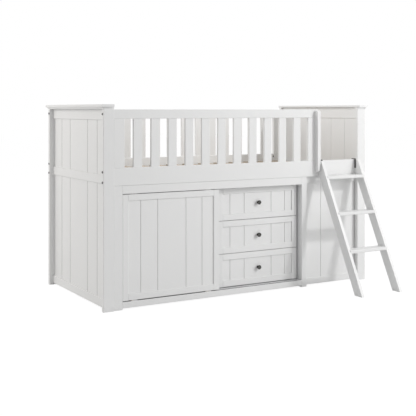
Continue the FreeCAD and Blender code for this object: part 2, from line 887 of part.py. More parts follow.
framed_panel(
    "door",
    ("door_left", "door_front", "door_low"),
    "door_wide",
    "door_high",
    "door_thick",
    DOOR_VEE_SHARES,
)
glides = []
for end, x in (
    ("left", "door_left + glide_margin"),
    ("right", "door_left + door_wide - glide_margin - glide_long"),
):
    foot_wide = "foot_track_wide - 2 * track_wall - 2 * glide_play"
    foot_low = "opening_low - foot_track_high + track_wall + glide_play"
    glides.append(
        block(
            f"door_{end}_foot_glide",
            (x, f"door_middle - ({foot_wide}) / 2", foot_low),
            ("glide_long", foot_wide, f"door_low - ({foot_low})"),
        )
    )
    head_wide = "head_track_wide - 2 * track_wall - 2 * glide_play"
    glides.append(
        block(
            f"door_{end}_head_glide",
            (x, f"door_middle - ({head_wide}) / 2", "door_low + door_high"),
            ("glide_long", head_wide, "door_head_gap + glide_reach"),
        )
    )
group("door_glides", glides)

# drawers: a framed front on a box, a turned knob, and a runner on each side


def knob(label, x, y, z):
    """Turn a round knob, with its tip at the given place."""
    body = doc.addObject("PartDesign::Body", label)
    profile = sketch_on(body, "z", label + "_profile")
    outline(
        profile,
        [
            ("0", "0"),
            ("knob_head_radius", "0"),
            ("knob_head_radius", "knob_head_thick"),
            ("knob_neck_radius", "knob_head_thick"),
            ("knob_neck_radius", "knob_deep - knob_base_thick"),
            ("knob_base_radius", "knob_deep - knob_base_thick"),
            ("knob_base_radius", "knob_deep"),
            ("0", "knob_deep"),
        ],
    )
    turned = body.newObject("PartDesign::Revolution", label + "_turned")
    turned.Profile = profile
    turned.ReferenceAxis = (profile, ["V_Axis"])
    round_edges(
        body,
        "knob_round",
        lambda edge, whole: edge.XLength > whole.XLength - PICK_SLACK,
    )
    place(body, (x, y, z))
    node(body)


RUNNER_SECTION = [
    ("0", "0"),
    ("runner_deep", "0"),
    ("runner_deep", "runner_wall"),
    ("runner_wall", "runner_wall"),
    ("runner_wall", "runner_high - runner_wall"),
    ("runner_deep", "runner_high - runner_wall"),
    ("runner_deep", "runner_high"),
    ("0", "runner_high"),
]
RUNNER_BAR_DEEP = "runner_gap - runner_wall - runner_play"
RUNNER_BAR_HIGH = "runner_high - 2 * runner_wall - 2 * runner_play"

fixed_runners = []
for index, name in enumerate(DRAWERS):
    label = f"{name}_drawer"
    z = f"drawer_low + {index} * (drawer_high + drawer_gap)"
    framed_panel(
        label,
        ("drawer_left", "drawer_front", z),
        "drawer_wide",
        "drawer_high",
        "drawer_front_thick",
        DRAWER_VEE_SHARES,
    )
    knob(
        f"{label}_knob",
        "drawer_left + drawer_wide / 2",
        "drawer_front + frame_panel_inset - knob_deep",
        f"{z} + drawer_high / 2",
    )
    box_z = f"{z} + drawer_box_low"
    inner_wide = "drawer_box_wide - 2 * drawer_side_thick"
    inner_x = "drawer_box_left + drawer_side_thick"
    side_size = ("drawer_side_thick", "drawer_deep", "drawer_box_high")
    cross_size = (inner_wide, "drawer_side_thick", "drawer_box_high")
    far_x = "drawer_box_left + drawer_box_wide - drawer_side_thick"
    far_y = "drawer_back + drawer_deep - drawer_side_thick"
    bottom_deep = "drawer_deep - 2 * drawer_side_thick"
    group(
        f"{label}_box",
        [
            block(f"{label}_left_wall", ("drawer_box_left", "drawer_back", box_z), side_size),
            block(f"{label}_right_wall", (far_x, "drawer_back", box_z), side_size),
            block(f"{label}_inner_front", (inner_x, "drawer_back", box_z), cross_size),
            block(f"{label}_rear_wall", (inner_x, far_y, box_z), cross_size),
            block(
                f"{label}_bottom",
                (inner_x, "drawer_back + drawer_side_thick", box_z),
                (inner_wide, bottom_deep, "drawer_bottom_thick"),
            ),
        ],
    )
    runner_z = f"{z} + runner_low"
    bar_z = f"{runner_z} + runner_wall + runner_play"
    bar_size = (RUNNER_BAR_DEEP, "drawer_deep", RUNNER_BAR_HIGH)
    left_bar_x = f"drawer_box_left - ({RUNNER_BAR_DEEP})"
    right_bar_x = "drawer_box_left + drawer_box_wide"
    group(
        f"{label}_slides",
        [
            block(f"{label}_left_slide", (left_bar_x, "drawer_back", bar_z), bar_size),
            block(f"{label}_right_slide", (right_bar_x, "drawer_back", bar_z), bar_size),
        ],
    )
    left_spot = ("divider_x + divider_thick", "drawer_back", runner_z)
    left_runner = extrude(f"{label}_left_runner", "y", RUNNER_SECTION, "drawer_deep", left_spot)
    right_spot = ("opening_right - runner_deep", "drawer_back", runner_z)
    right_section = [(f"runner_deep - {u}", v) for u, v in RUNNER_SECTION]
    right_runner = extrude(f"{label}_right_runner", "y", right_section, "drawer_deep", right_spot)
    fixed_runners += [left_runner, right_runner]
group("drawer_runners", fixed_runners)

# bay behind the ladder: a grooved panel between two rails

BAY_LONG = "bay_right - (bay_left)"
bay_slot_at = "bay_panel_inset - seat_play"
bay_top_high = "rail_low - bay_top_low"
bay_rails = [
    extrude(
        "bay_head_rail",
        "x",
        slotted("bay_rail_thick", bay_top_high, bay_slot_at, low_slot=True),
        BAY_LONG,
        ("bay_left", "bay_front", "bay_top_low"),
    ),
    extrude(
        "bay_foot_rail",
        "x",
        slotted("bay_rail_thick", "bay_bottom_high", bay_slot_at, high_slot=True),
        BAY_LONG,
        ("bay_left", "bay_front", "bay_bottom_low"),
    ),
]
group("bay_rails", bay_rails)
node(
    extrude(
        "bay_panel",
        "z",
        grooved(BAY_LONG, [f"{BAY_VEE_SHARE} * ({BAY_LONG})"]),
        "bay_top_low - (bay_bottom_top) + 2 * panel_tongue",
        ("bay_left", "bay_front + bay_panel_inset", "bay_bottom_top - panel_tongue"),
    )
)

# ladder: sloping stringers with a level foot and a plumb head, and housed treads

head_run = "(ladder_head - stringer_deep) * ladder_slope"
stringer_side = [
    ("0", "0"),
    ("stringer_deep", "0"),
    ("ladder_head", head_run),
    ("ladder_head", "ladder_top"),
    ("ladder_head - ladder_head_flat", "ladder_top"),
]
STRINGERS = {
    "left": ("ladder_left", "stringer_thick - tread_housing"),
    "right": ("ladder_right - stringer_thick", "0"),
}


def tread_place(index):
    """Give a tread's low front edge, in run and height, centred on the slope."""
    top = f"(tread_first + {index} * tread_step)"
    run = f"({top} - tread_thick / 2) / ladder_slope + (stringer_deep - tread_deep) / 2"
    return run, f"{top} - tread_thick"


for side, (x, housing_start) in STRINGERS.items():
    label = f"ladder_{side}_stringer"
    stringer = extrude(label, "x", stringer_side, "stringer_thick", (x, "ladder_foot", "0"))
    for index in range(TREADS):
        run, low = tread_place(index)
        housing = sketch_on(stringer, "x", f"{label}_housing_{index + 1}", housing_start)
        near = f"{run} - seat_play"
        far = f"{run} + tread_deep + seat_play"
        under = f"{low} - seat_play"
        over = f"{low} + tread_thick + seat_play"
        outline(housing, [(near, under), (far, under), (far, over), (near, over)])
        sink(stringer, "x", housing, "tread_housing", f"{label}_cut_{index + 1}")
    node(stringer)

treads = []
tread_long = "ladder_wide - 2 * stringer_thick + 2 * tread_housing - 2 * seat_play"
for index in range(TREADS):
    run, low = tread_place(index)
    section = eased("tread_deep", "tread_thick", "cap_ease")
    spot = (
        "ladder_left + stringer_thick - tread_housing + seat_play",
        f"ladder_foot + {run}",
        low,
    )
    treads.append(extrude(f"ladder_tread_{index + 1}", "x", section, tread_long, spot))
group("ladder_treads", treads)

hook_back = "hook_leg_wide + ladder_play + rail_thick + hook_play"
hook_arm_low = "hook_leg_long"
hook_arm_top = f"{hook_arm_low} + hook_arm_thick"
hook_lip_low = f"{hook_arm_top} - hook_lip_long"
hook_side = [
    ("0", "0"),
    ("hook_leg_wide", "0"),
    ("hook_leg_wide", hook_arm_low),
    (hook_back, hook_arm_low),
    (hook_back, hook_lip_low),
    (f"{hook_back} + hook_lip_thick", hook_lip_low),
    (f"{hook_back} + hook_lip_thick", hook_arm_top),
    ("0", hook_arm_top),
]
hooks = []
for side, x in (
    ("left", "ladder_left + stringer_thick"),
    ("right", "ladder_right - stringer_thick - hook_thick"),
):
    spot = (
        x,
        "face - ladder_play - hook_leg_wide",
        "rail_top + hook_play - hook_leg_long",
    )
    hook = extrude(f"ladder_{side}_hook", "x", hook_side, "hook_thick", spot)
    round_edges(
        hook,
        "hook_round",
        lambda edge, whole: edge.ZMin > whole.ZMax - PICK_SLACK and edge.YLength < PICK_SLACK,
    )
    hooks.append(hook)
group("ladder_hooks", hooks)

# check every object, then write each sub-part

doc.recompute()
for thing in doc.Objects:
    if "Invalid" in thing.State or "Error" in thing.State:
        raise RuntimeError(f"{thing.Label} failed: {thing.State}")
    if thing.TypeId == "PartDesign::Pocket":
        removed = thing.BaseFeature.Shape.Volume - thing.Shape.Volume
        if removed <= 0:
            raise RuntimeError(f"{thing.Label} cuts nothing")

os.makedirs("parts", exist_ok=True)
for thing in nodes:
    shape = thing.Shape
    if shape.isNull() or not shape.isValid():
        raise RuntimeError(f"{thing.Label} has no valid shape")
    shape.exportStep(f"parts/{thing.Label}.step")
    print(thing.Label, len(shape.Solids), "solids", round(shape.Volume), "mm3")
print(len(nodes), "sub-parts written")
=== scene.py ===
# %% [markdown]
# # Dressing a low loft bed
#
# The bed itself is finished CAD: posts, panels, rails, slats, a cabinet with a sliding door and
# three drawers, and a hook-on ladder. Each piece arrives here at its real size and in its real
# place, so this lesson is about looks: what each board is painted with, how the bare timber and
# the small metal parts differ from it, and how a soft studio light shows the shadow lines of the
# joinery. We load the frame first.

# %% Load the frame
import json
import math

import bpy
from mathutils import Matrix, Vector


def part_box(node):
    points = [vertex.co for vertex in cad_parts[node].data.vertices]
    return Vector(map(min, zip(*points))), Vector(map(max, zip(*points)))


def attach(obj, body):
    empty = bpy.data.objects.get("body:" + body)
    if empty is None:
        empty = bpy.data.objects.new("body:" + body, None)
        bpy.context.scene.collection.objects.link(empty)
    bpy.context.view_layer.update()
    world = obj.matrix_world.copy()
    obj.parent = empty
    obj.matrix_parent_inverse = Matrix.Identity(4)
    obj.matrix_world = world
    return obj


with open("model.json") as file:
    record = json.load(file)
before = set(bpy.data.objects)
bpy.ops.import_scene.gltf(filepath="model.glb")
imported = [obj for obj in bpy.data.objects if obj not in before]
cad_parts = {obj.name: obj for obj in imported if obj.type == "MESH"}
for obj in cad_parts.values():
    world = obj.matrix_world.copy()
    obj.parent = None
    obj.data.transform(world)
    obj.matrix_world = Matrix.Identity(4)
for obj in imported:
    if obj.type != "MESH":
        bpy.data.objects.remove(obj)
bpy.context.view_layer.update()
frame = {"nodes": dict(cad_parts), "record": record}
nodes = frame["nodes"]
slot_of = {part["node"]: part["material_slot"] for part in frame["record"]["subparts"]}

# %% [markdown]
# ## Which boards does a mesh hold?
#
# One node may hold many boards: all the bed slats are one mesh, for example. Each board needs a
# finish of its own, so we first sort a mesh's faces into its separate boards. The sides of an
# imported board share no vertices, and Blender's own way of finding linked faces would give us
# loose sides. We match edges by their place instead: inside one board an edge belongs to exactly
# two faces, while an edge where two boards touch belongs to four, and we don't cross it.

# %% Sort faces into boards
SPOT_DIGITS = 6
SORT_DIGITS = 4


def boards_of(mesh):
    """Give the faces of each separate solid in a mesh, as lists of face numbers."""
    spots = [tuple(round(c, SPOT_DIGITS) for c in vertex.co) for vertex in mesh.vertices]
    meeting = {}
    for face in mesh.polygons:
        for a, b in face.edge_keys:
            meeting.setdefault(frozenset((spots[a], spots[b])), []).append(face.index)
    parent = list(range(len(mesh.polygons)))

    def root(index):
        while parent[index] != index:
            parent[index] = parent[parent[index]]
            index = parent[index]
        return index

    for faces in meeting.values():
        if len(faces) == 2:
            parent[root(faces[0])] = root(faces[1])
    boards = {}
    for index in range(len(parent)):
        boards.setdefault(root(index), []).append(index)
    return list(boards.values())


def box_of(mesh, faces):
    """Give the lowest and highest corner of some faces."""
    points = [mesh.vertices[v].co for face in faces for v in mesh.polygons[face].vertices]
    low = Vector(min(p[i] for p in points) for i in range(3))
    high = Vector(max(p[i] for p in points) for i in range(3))
    return low, high


def solid_boxes(node):
    """Give the box of each separate solid of a CAD node, from left to right and front to back."""
    mesh = nodes[node].data
    boxes = [box_of(mesh, faces) for faces in boards_of(mesh)]
    return sorted(boxes, key=lambda box: tuple(round(c, SORT_DIGITS) for c in box[0]))


print("bed slats found:", len(solid_boxes("bed_slats")))

# %% [markdown]
# ## Which way does each board run?
#
# Wood looks right only when its grain runs along the board, and no two boards look alike. The
# longest true edge of a board gives its grain, except in the panels, which are upright boards side
# by side. We could have made three copies of each material, one for each axis, but a few marks on
# the faces let one material serve all: the way of the grain, the board's centre, and a number to
# draw chance from. A fourth mark picks out the sloped sides of the panels' grooves, where a darker
# colour paints in the shade that falls in a groove. This painted shade is strongest on the outer
# faces of the bed's two ends.

# %% Mark the grain and the painted groove shade of every wooden board
WOODEN = {"white_paint", "bare_timber", "drawer_board"}
MARKS = {
    "board_way": "FLOAT_VECTOR",
    "board_centre": "FLOAT_VECTOR",
    "board_number": "FLOAT",
    "groove_painted_shade": "FLOAT",
}
UPRIGHT = Vector((0, 0, 1))
SLOPED_SHARE = 0.2
# how strong the painted shade in the grooves is, on the outer faces and on the inner faces
END_GROOVE_SHADE = (1.0, 0.12)
FRONT_GROOVE_SHADE = (0.28, 0.28)


def grain_of(mesh, faces):
    """Find a board's grain: the direction of its longest edge that isn't a side's diagonal."""
    used = {}
    for face in faces:
        for key in mesh.polygons[face].edge_keys:
            used[key] = used.get(key, 0) + 1
    true_edges = [key for key, count in used.items() if count == 1]
    edges = [mesh.vertices[b].co - mesh.vertices[a].co for a, b in true_edges]
    return max(edges, key=lambda edge: edge.length).normalized()


def groove_shade_strengths(node):
    """Give the strength of the painted shade in a panel's grooves, outer side and inner side, or
    None without grooves.
    """
    if node.endswith("_end_panels"):
        return END_GROOVE_SHADE
    if node.endswith("_panel"):
        return FRONT_GROOVE_SHADE
    return None


def mark_boards(piece, first_number, groove_shades):
    """Give each board of a piece its grain, centre and number, and mark the painted shade in any
    grooves in it.
    """
    mesh = piece.data
    for mark, kind in MARKS.items():
        mesh.attributes.new(mark, kind, "FACE")
    ways, centres, numbers, grooves = [mesh.attributes[mark].data for mark in MARKS]
    boards = boards_of(mesh)
    for number, faces in enumerate(boards, start=first_number):
        way = UPRIGHT if groove_shades else grain_of(mesh, faces)
        low, high = box_of(mesh, faces)
        centre = (low + high) / 2
        for face in faces:
            ways[face].vector = way
            centres[face].vector = centre
            numbers[face].value = number
            out = mesh.polygons[face].normal
            # the sloped sides of a groove get painted shade, strong or weak by outer or inner face
            if groove_shades and min(abs(out.x), abs(out.y)) > SLOPED_SHARE:
                outer, inner = groove_shades
                grooves[face].value = outer if out.x * centre.x > 0 else inner
    return first_number + len(boards)


next_number = 1
for name, piece in nodes.items():
    if slot_of[name] in WOODEN:
        next_number = mark_boards(piece, next_number, groove_shade_strengths(name))
print("boards marked:", next_number - 1)

# %% [markdown]
# ## Small tools for shader nodes
#
# Node trees built in code get long, so a few helpers keep them readable. The first adds a node of
# any kind, sets its options and feeds its inputs, from plain values or from other nodes. The rest
# are the nodes that nearly every finish needs: sums, noise, a change of span, a blend of colours.

# %% Node helpers
PLAIN_DETAIL = 2.0
# where the Mix node keeps its two colours and its blended colour
BLEND_FIRST = 6
BLEND_SECOND = 7
BLENDED = 2


def add(tree, kind, options, inputs):
    """Add a node, set its options and feed its inputs."""
    made = tree.nodes.new(kind)
    for name, value in options.items():
        setattr(made, name, value)
    for key, value in inputs.items():
        if isinstance(value, bpy.types.NodeSocket):
            tree.links.new(value, made.inputs[key])
        else:
            made.inputs[key].default_value = value
    return made


def calc(tree, operation, a, b=0.0):
    """Work out one number from two."""
    return add(tree, "ShaderNodeMath", {"operation": operation}, {0: a, 1: b}).outputs[0]


def vector_calc(tree, operation, a, b, out="Vector"):
    """Work out a vector, or a number, from two vectors."""
    return add(tree, "ShaderNodeVectorMath", {"operation": operation}, {0: a, 1: b}).outputs[out]


def stretch(tree, vector, factor):
    """Multiply a vector by one number."""
    inputs = {0: vector, "Scale": factor}
    return add(tree, "ShaderNodeVectorMath", {"operation": "SCALE"}, inputs).outputs[0]


def object_spot(tree):
    """Give a point's place in its object."""
    return add(tree, "ShaderNodeTexCoord", {}, {}).outputs["Object"]


def face_mark(tree, name, out):
    """Read a mark that was written on the faces."""
    return add(tree, "ShaderNodeAttribute", {"attribute_name": name}, {}).outputs[out]


def noise(tree, vector, scale, detail=PLAIN_DETAIL, out="Fac"):
    """Add soft noise at a scale, counted in swells to the metre."""
    inputs = {"Vector": vector, "Scale": scale, "Detail": detail}
    return add(tree, "ShaderNodeTexNoise", {}, inputs).outputs[out]


def remap(tree, value, span, to_span):
    """Carry a span of values over to another span."""
    inputs = dict(enumerate((value, *span, *to_span)))
    return add(tree, "ShaderNodeMapRange", {}, inputs).outputs[0]


def blend_colours(tree, factor, a, b):
    """Mix two colours."""
    inputs = {"Factor": factor, BLEND_FIRST: a, BLEND_SECOND: b}
    return add(tree, "ShaderNodeMix", {"data_type": "RGBA"}, inputs).outputs[BLENDED]


print("node helpers ready")

# %% [markdown]
# ## Tools for groups and materials
#
# An effect that several finishes share is built once as a node group with named sockets, and each
# material then places it with values of its own. We could copy the nodes into every material
# instead, but then a change would have to be made many times. A material starts from Blender's
# Principled shader, and three helpers feed that: its colour, its gloss and its relief.

# %% Group and material helpers
FULL_STRENGTH = 1.0


def start_group(name, inputs, outputs):
    """Start a node group with named inputs, each with its usual value, and named outputs."""
    tree = bpy.data.node_groups.new(name, "ShaderNodeTree")
    for socket, usual in inputs.items():
        made = tree.interface.new_socket(socket, in_out="INPUT", socket_type="NodeSocketFloat")
        made.default_value = usual
    for socket in outputs:
        tree.interface.new_socket(socket, in_out="OUTPUT", socket_type="NodeSocketFloat")
    return tree, tree.nodes.new("NodeGroupInput").outputs, tree.nodes.new("NodeGroupOutput").inputs


def put_out(tree, results, values):
    """Lead values to the outputs of a group."""
    for socket, value in values.items():
        tree.links.new(value, results[socket])


def place_group(tree, group, inputs):
    """Place a group in a material, with values of its own."""
    made = tree.nodes.new("ShaderNodeGroup")
    made.node_tree = group
    for key, value in inputs.items():
        made.inputs[key].default_value = value
    return made.outputs


def start_finish(name):
    """Start a material, and give it with its node tree and its Principled shader."""
    material = bpy.data.materials.new(name)
    material.use_nodes = True
    tree = material.node_tree
    return material, tree, tree.nodes["Principled BSDF"]


def colour_surface(tree, shader, factor, a, b):
    """Let a value blend two colours into the base colour."""
    tree.links.new(blend_colours(tree, factor, a, b), shader.inputs["Base Color"])


def gloss_surface(tree, shader, value, span, rough):
    """Let a span of values set the roughness."""
    tree.links.new(remap(tree, value, span, rough), shader.inputs["Roughness"])


def raise_surface(tree, shader, height, rise):
    """Let a height of 1 stand out of the surface by a rise in metres."""
    inputs = {"Strength": FULL_STRENGTH, "Distance": rise, "Height": height}
    bump = add(tree, "ShaderNodeBump", {}, inputs)
    tree.links.new(bump.outputs[0], shader.inputs["Normal"])


print("group and material helpers ready")

# %% [markdown]
# ## Wood grain as a shared effect
#
# A trunk grows in rings round its heart, and a board is a straight cut through them. So the group
# measures how far a point lies from a heart line that runs along the board, a little beside it and
# a little askew. Where the face cuts the rings at a slant, long arches appear by themselves, and the
# board's ends show arcs, as sawn timber does. A painted band of stripes would be simpler, but it
# has no ends and no arches. First comes the place of a point in its board, along and across the
# grain, and a shift that each board draws by chance, as if cut from another part of the trunk.

# %% Group: the place in the board
GRAIN_INPUTS = {"Ring Width": 0.005, "Waver": 0.006}
GRAIN_OUTPUTS = ("Rings", "Fibre", "Knots", "Board")
HALVES = (0.5, 0.5, 0.5)
sawn_grain, grain_given, grain_results = start_group("sawn_grain", GRAIN_INPUTS, GRAIN_OUTPUTS)

way = face_mark(sawn_grain, "board_way", "Vector")
number = face_mark(sawn_grain, "board_number", "Fac")
chance = add(sawn_grain, "ShaderNodeTexWhiteNoise", {"noise_dimensions": "1D"}, {"W": number})
shift = vector_calc(sawn_grain, "SUBTRACT", chance.outputs["Color"], HALVES)
centre = face_mark(sawn_grain, "board_centre", "Vector")
local = vector_calc(sawn_grain, "SUBTRACT", object_spot(sawn_grain), centre)
along = vector_calc(sawn_grain, "DOT_PRODUCT", local, way, "Value")
across = vector_calc(sawn_grain, "SUBTRACT", local, stretch(sawn_grain, way, along))


def drawn_out(across_scale, along_scale, apart):
    """Give the place in the board, scaled across and along the grain, with boards set apart."""
    wide = stretch(sawn_grain, across, across_scale)
    long = stretch(sawn_grain, way, calc(sawn_grain, "MULTIPLY", along, along_scale))
    place = vector_calc(sawn_grain, "ADD", wide, long)
    return vector_calc(sawn_grain, "ADD", place, stretch(sawn_grain, shift, apart))


print("group started:", sawn_grain.name)

# %% [markdown]
# The rings waver with a soft noise that is drawn out along the grain. What counts is the distance
# from the heart line at right angles to the grain, divided by the width of a ring. Within a ring the
# wood darkens slowly towards its late wood and then breaks off sharply, which a power and a short
# fade give.

# %% Group: the rings
# scale across the grain, scale along it, and how far apart two boards are drawn
SWAY_SCALES = (9.0, 1.6, 30.0)
SWAY_PITCH = 1.0
SWAY_GAIN = 4.0
HEART_REACH = 0.16
HEART_SKEW = 0.045
LATE_POWER = 2.2
RING_END = (0.9, 1.0)
FADE_OUT = (1.0, 0.0)
NOWHERE = (0, 0, 0)

sway = noise(sawn_grain, drawn_out(*SWAY_SCALES), SWAY_PITCH, out="Color")
sway = vector_calc(sawn_grain, "SUBTRACT", sway, HALVES)
waver = calc(sawn_grain, "MULTIPLY", grain_given["Waver"], SWAY_GAIN)
skew = calc(sawn_grain, "MULTIPLY", along, HEART_SKEW)
heart = vector_calc(sawn_grain, "ADD", across, stretch(sawn_grain, shift, HEART_REACH))
heart = vector_calc(sawn_grain, "ADD", heart, stretch(sawn_grain, shift, skew))
heart = vector_calc(sawn_grain, "ADD", heart, stretch(sawn_grain, sway, waver))
drift = vector_calc(sawn_grain, "DOT_PRODUCT", heart, way, "Value")
heart = vector_calc(sawn_grain, "SUBTRACT", heart, stretch(sawn_grain, way, drift))
depth = vector_calc(sawn_grain, "LENGTH", heart, NOWHERE, "Value")
ring = calc(sawn_grain, "FRACT", calc(sawn_grain, "DIVIDE", depth, grain_given["Ring Width"]))
late = calc(sawn_grain, "POWER", ring, LATE_POWER)
rings = calc(sawn_grain, "MULTIPLY", late, remap(sawn_grain, ring, RING_END, FADE_OUT))
print("rings added:", len(sawn_grain.nodes), "nodes so far")

# %% [markdown]
# Fibre is fine noise, drawn out so far along the grain that it turns into threads. Knots are the
# hearts of sparse cells, longer along the grain than across it. The number that a board drew also
# goes out, so that a finish can give each board a tint of its own.

# %% Group: the fibre and the knots
FIBRE_SCALES = (1.0, 0.012, 3.0)
FIBRE_PITCH = 1500
FIBRE_DETAIL = 3.0
KNOT_SCALES = (3.2, 1.0, 17.0)
KNOT_PITCH = 5.5
KNOT_EDGE = (0.05, 0.12)

fibre = noise(sawn_grain, drawn_out(*FIBRE_SCALES), FIBRE_PITCH, FIBRE_DETAIL)
cell_inputs = {"Vector": drawn_out(*KNOT_SCALES), "Scale": KNOT_PITCH}
cells = add(sawn_grain, "ShaderNodeTexVoronoi", {}, cell_inputs)
knots = remap(sawn_grain, cells.outputs["Distance"], KNOT_EDGE, FADE_OUT)
grain_values = {"Rings": rings, "Fibre": fibre, "Knots": knots, "Board": chance.outputs["Value"]}
put_out(sawn_grain, grain_results, grain_values)
print("group:", sawn_grain.name, "with", len(sawn_grain.nodes), "nodes")

# %% [markdown]
# ## Sprayed film and the marks of handling
#
# Sprayed paint dries with a faint skin like orange peel, a few millimetres from swell to swell, and
# it is never quite as thick in one place as in another. That is one group. The other is what hands
# and cloths leave on any smooth finish: broad, soft patches that are a little glossier or duller.
# Both only give values. Each material decides how much of them to show.

# %% Groups: sprayed film and handling marks
PEEL_DETAIL = 1.0
MOTTLE_PITCH = 4.5
MOTTLE_DETAIL = 3.0
SMUDGE_DETAIL = 4.0
SMUDGE_SPAN = (0.35, 0.7)
WHOLE = (0.0, 1.0)

film, given, results = start_group("sprayed_film", {"Swells": 320.0}, ("Peel", "Mottle"))
spot = object_spot(film)
peel = noise(film, spot, given["Swells"], PEEL_DETAIL)
mottle = noise(film, spot, MOTTLE_PITCH, MOTTLE_DETAIL)
put_out(film, results, {"Peel": peel, "Mottle": mottle})

handling, given, results = start_group("handling_marks", {"Patches": 9.0}, ("Smudge",))
broad = noise(handling, object_spot(handling), given["Patches"], SMUDGE_DETAIL)
put_out(handling, results, {"Smudge": remap(handling, broad, SMUDGE_SPAN, WHOLE)})
print("groups:", film.name, "and", handling.name)

# %% [markdown]
# ## Streaks and specks of metal
#
# Turning, rolling and plating all leave fine lines or specks on metal. The lines are noise that is
# combed out along the bed, the way the door's long tracks run, and the specks are noise of the same
# pitch that is left uncombed.

# %% Group: fine streaks
COMBED = (0.04, 1.0, 1.0)
STREAK_DETAIL = 2.0
SPECK_DETAIL = 1.0

streaks, given, results = start_group("fine_streaks", {"Pitch": 900.0}, ("Streak", "Speck"))
spot = object_spot(streaks)
combed = vector_calc(streaks, "MULTIPLY", spot, COMBED)
streak = noise(streaks, combed, given["Pitch"], STREAK_DETAIL)
speck = noise(streaks, spot, given["Pitch"], SPECK_DETAIL)
put_out(streaks, results, {"Streak": streak, "Speck": speck})
print("group:", streaks.name)

# %% [markdown]
# ## White satin paint
#
# Nearly all of the bed is wood sprayed white. The film hides the colour of the wood but not quite
# its surface: the grain still lifts it by a few hundredths of a millimetre, which a raking light
# shows on the posts and rails. A flat white would look like plastic, so the tone wanders by a part
# or two in a hundred, each board differs a touch from its neighbour, and the satin varies in gloss.
# Where a face is marked as the side of a groove, a darker colour paints in the shade of the groove.

# %% Finish: white paint
PAINT_GRAIN = {"Ring Width": 0.004, "Waver": 0.004}
PAINT_SWELLS = 300.0
PAINT_PATCHES = 7.0
PAINT_LIGHT = (0.83, 0.83, 0.825, 1)
PAINT_DEEP = (0.805, 0.806, 0.804, 1)
PAINT_GROOVE_SHADE = (0.5, 0.495, 0.485, 1)
MOTTLE_SHARE = 0.7
BOARD_SHARE = 0.35
PAINT_ROUGH = (0.36, 0.48)
FIBRE_LIFT = 0.5
RING_LIFT = 0.35
PAINT_RISE = 0.00006


def white_paint():
    """Make satin white paint over wood."""
    material, tree, shader = start_finish("white_paint")
    grain = place_group(tree, sawn_grain, PAINT_GRAIN)
    skin = place_group(tree, film, {"Swells": PAINT_SWELLS})
    marks = place_group(tree, handling, {"Patches": PAINT_PATCHES})
    tone = calc(tree, "MULTIPLY", skin["Mottle"], MOTTLE_SHARE)
    tone = calc(tree, "ADD", tone, calc(tree, "MULTIPLY", grain["Board"], BOARD_SHARE))
    paint = blend_colours(tree, tone, PAINT_LIGHT, PAINT_DEEP)
    # a darker colour on the sides of the grooves: painted shade
    colour_surface(tree, shader, face_mark(tree, "groove_painted_shade", "Fac"), paint, PAINT_GROOVE_SHADE)
    gloss_surface(tree, shader, marks["Smudge"], WHOLE, PAINT_ROUGH)
    relief = calc(tree, "ADD", skin["Peel"], calc(tree, "MULTIPLY", grain["Fibre"], FIBRE_LIFT))
    relief = calc(tree, "ADD", relief, calc(tree, "MULTIPLY", grain["Rings"], RING_LIFT))
    raise_surface(tree, shader, relief, PAINT_RISE)
    return material


finishes = {"white_paint": white_paint()}
print("finish: white paint")

# %% [markdown]
# ## White board
#
# The cabinet's carcass is board with a white facing pressed onto it. It has no grain at all, and in
# place of orange peel a fine, even pearl from the press plate. It is a shade cooler than the paint.

# %% Finish: white faced board
BOARD_SWELLS = 900.0
BOARD_PATCHES = 5.0
BOARD_WHITE = (0.79, 0.795, 0.8, 1)
BOARD_SHADE = (0.765, 0.77, 0.775, 1)
BOARD_ROUGH = (0.46, 0.56)
BOARD_RISE = 0.00003


def white_board():
    """Make the pearl white facing of the cabinet's boards."""
    material, tree, shader = start_finish("white_board")
    skin = place_group(tree, film, {"Swells": BOARD_SWELLS})
    marks = place_group(tree, handling, {"Patches": BOARD_PATCHES})
    colour_surface(tree, shader, skin["Mottle"], BOARD_WHITE, BOARD_SHADE)
    gloss_surface(tree, shader, marks["Smudge"], WHOLE, BOARD_ROUGH)
    raise_surface(tree, shader, skin["Peel"], BOARD_RISE)
    return material


finishes["white_board"] = white_board()
print("finish: white board")

# %% [markdown]
# ## Bare pine
#
# The slats that carry the mattress and the ledgers under them are planed pine with no finish. Its
# early wood is pale straw, its late wood a soft brown, and a slat has a knot or two. Here the rings
# give the colour, the fibre breaks them up, and the same values lift the surface a little.

# %% Finish: bare pine
PINE_GRAIN = {"Ring Width": 0.0055, "Waver": 0.007}
PINE_PATCHES = 6.0
PINE_PALE = (0.55, 0.475, 0.385, 1)
PINE_DEEP = (0.41, 0.325, 0.235, 1)
PINE_KNOT = (0.3, 0.16, 0.07, 1)
NOISE_SPAN = (0.3, 0.7)
FIBRE_BREAK = (0.75, 1.0)
PINE_TINT = (0.0, 0.25)
PINE_ROUGH = (0.55, 0.66)
BAND_LIFT = 0.6
PINE_RISE = 0.00015


def bare_timber():
    """Make planed pine."""
    material, tree, shader = start_finish("bare_timber")
    grain = place_group(tree, sawn_grain, PINE_GRAIN)
    marks = place_group(tree, handling, {"Patches": PINE_PATCHES})
    threads = remap(tree, grain["Fibre"], NOISE_SPAN, FIBRE_BREAK)
    bands = calc(tree, "MULTIPLY", grain["Rings"], threads)
    wood = blend_colours(tree, bands, PINE_PALE, PINE_DEEP)
    wood = blend_colours(tree, remap(tree, grain["Board"], WHOLE, PINE_TINT), wood, PINE_DEEP)
    colour_surface(tree, shader, grain["Knots"], wood, PINE_KNOT)
    gloss_surface(tree, shader, marks["Smudge"], WHOLE, PINE_ROUGH)
    relief = calc(tree, "ADD", grain["Fibre"], calc(tree, "MULTIPLY", bands, BAND_LIFT))
    raise_surface(tree, shader, relief, PINE_RISE)
    return material


finishes["bare_timber"] = bare_timber()
print("finish: bare pine")

# %% [markdown]
# ## The drawers' pale board
#
# Drawer boxes are seldom painted. These are board with a printed facing: a quiet, pale grain with
# broad rings, under a film that is even all over. The grain group serves again, with its fibre only
# breaking up the lines, since print has no relief of its own.

